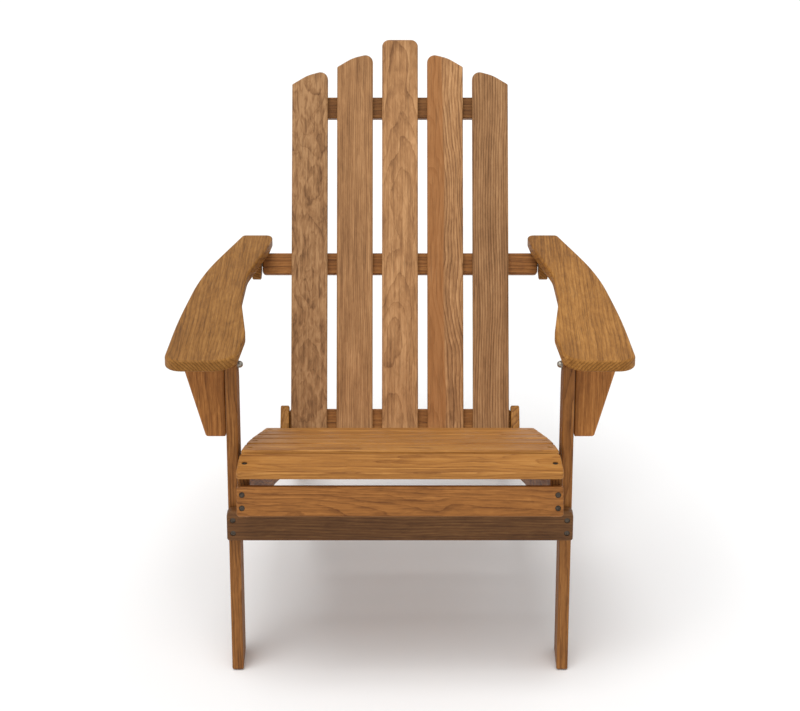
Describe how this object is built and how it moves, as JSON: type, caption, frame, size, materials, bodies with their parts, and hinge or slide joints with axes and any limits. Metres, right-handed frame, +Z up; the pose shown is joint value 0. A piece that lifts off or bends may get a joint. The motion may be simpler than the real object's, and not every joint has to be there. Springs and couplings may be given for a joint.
{
  "type": "folding adirondack chair",
  "caption": "Folding adirondack garden chair in solid wood, with a reclined slatted back with a stepped top, a sloping slatted seat and wide shaped arms.",
  "frame": {"origin": "on the floor under the middle of the chair's bounding box", "axes": "+Z up, +Y towards the back of the chair, so the seat faces -Y, +X to the right when looking along +Y"},
  "size_m": [0.7184, 0.9665, 0.8597],
  "materials": {
    "seat_wood": "oiled",
    "back_wood": "oiled",
    "arm_wood": "oiled",
    "frame_wood": "oiled",
    "bolt_steel": "satin",
    "screw_steel": "satin"
  },
  "bodies": {
    "seat_frame": {"apron_screws": "screw_steel", "back_pivot_bolts": "bolt_steel", "front_apron": "frame_wood", "leg_pivot_bolts": "bolt_steel", "leg_pivot_spacers": "bolt_steel", "seat_screws": "screw_steel", "seat_slat_1": "seat_wood", "seat_slat_2": "seat_wood", "seat_slat_3": "seat_wood", "seat_slat_4": "seat_wood", "seat_slat_5": "seat_wood", "seat_slat_6": "seat_wood", "stringer_left": "frame_wood", "stringer_right": "frame_wood"},
    "front_legs": {"leg_left": "frame_wood", "leg_right": "frame_wood", "cross_rail": "frame_wood", "rail_screws": "screw_steel", "arm_bolts": "bolt_steel"},
    "back": {"arm_pivot_bolts": "bolt_steel", "back_ear_left": "frame_wood", "back_ear_right": "frame_wood", "back_rail_lower": "frame_wood", "back_rail_middle": "frame_wood", "back_rail_upper": "frame_wood", "back_screws": "screw_steel", "back_slat_1": "back_wood", "back_slat_2": "back_wood", "back_slat_3": "back_wood", "back_slat_4": "back_wood", "back_slat_5": "back_wood"},
    "left_arm": {"arm_left": "arm_wood", "arm_bracket_left": "arm_wood", "arm_block_left": "arm_wood"},
    "right_arm": {"arm_right": "arm_wood", "arm_bracket_right": "arm_wood", "arm_block_right": "arm_wood"}
  },
  "joints": [
    {"name": "back_fold", "type": "hinge", "parent": "seat_frame", "child": "back", "pos_m": [0, -0.0315, 0.247], "axis": [1, 0, 0], "range_deg": [0, 40]},
    {"name": "legs_fold", "type": "hinge", "parent": "seat_frame", "child": "front_legs", "pos_m": [0, -0.3465, 0.298], "axis": [1, 0, 0], "range_deg": [0, 55.3]},
    {"name": "left_arm_fold", "type": "hinge", "parent": "back", "child": "left_arm", "pos_m": [0, 0.11693, 0.51125], "axis": [1, 0, 0], "range_deg": [-26.1, 0]},
    {"name": "right_arm_fold", "type": "hinge", "parent": "back", "child": "right_arm", "pos_m": [0, 0.11693, 0.51125], "axis": [1, 0, 0], "range_deg": [-26.1, 0]}
  ],
  "couplings": [
    {"joint": "legs_fold", "follows": "back_fold", "ratio": 1.38},
    {"joint": "left_arm_fold", "follows": "back_fold", "ratio": -0.65},
    {"joint": "right_arm_fold", "follows": "back_fold", "ratio": -0.65}
  ]
}
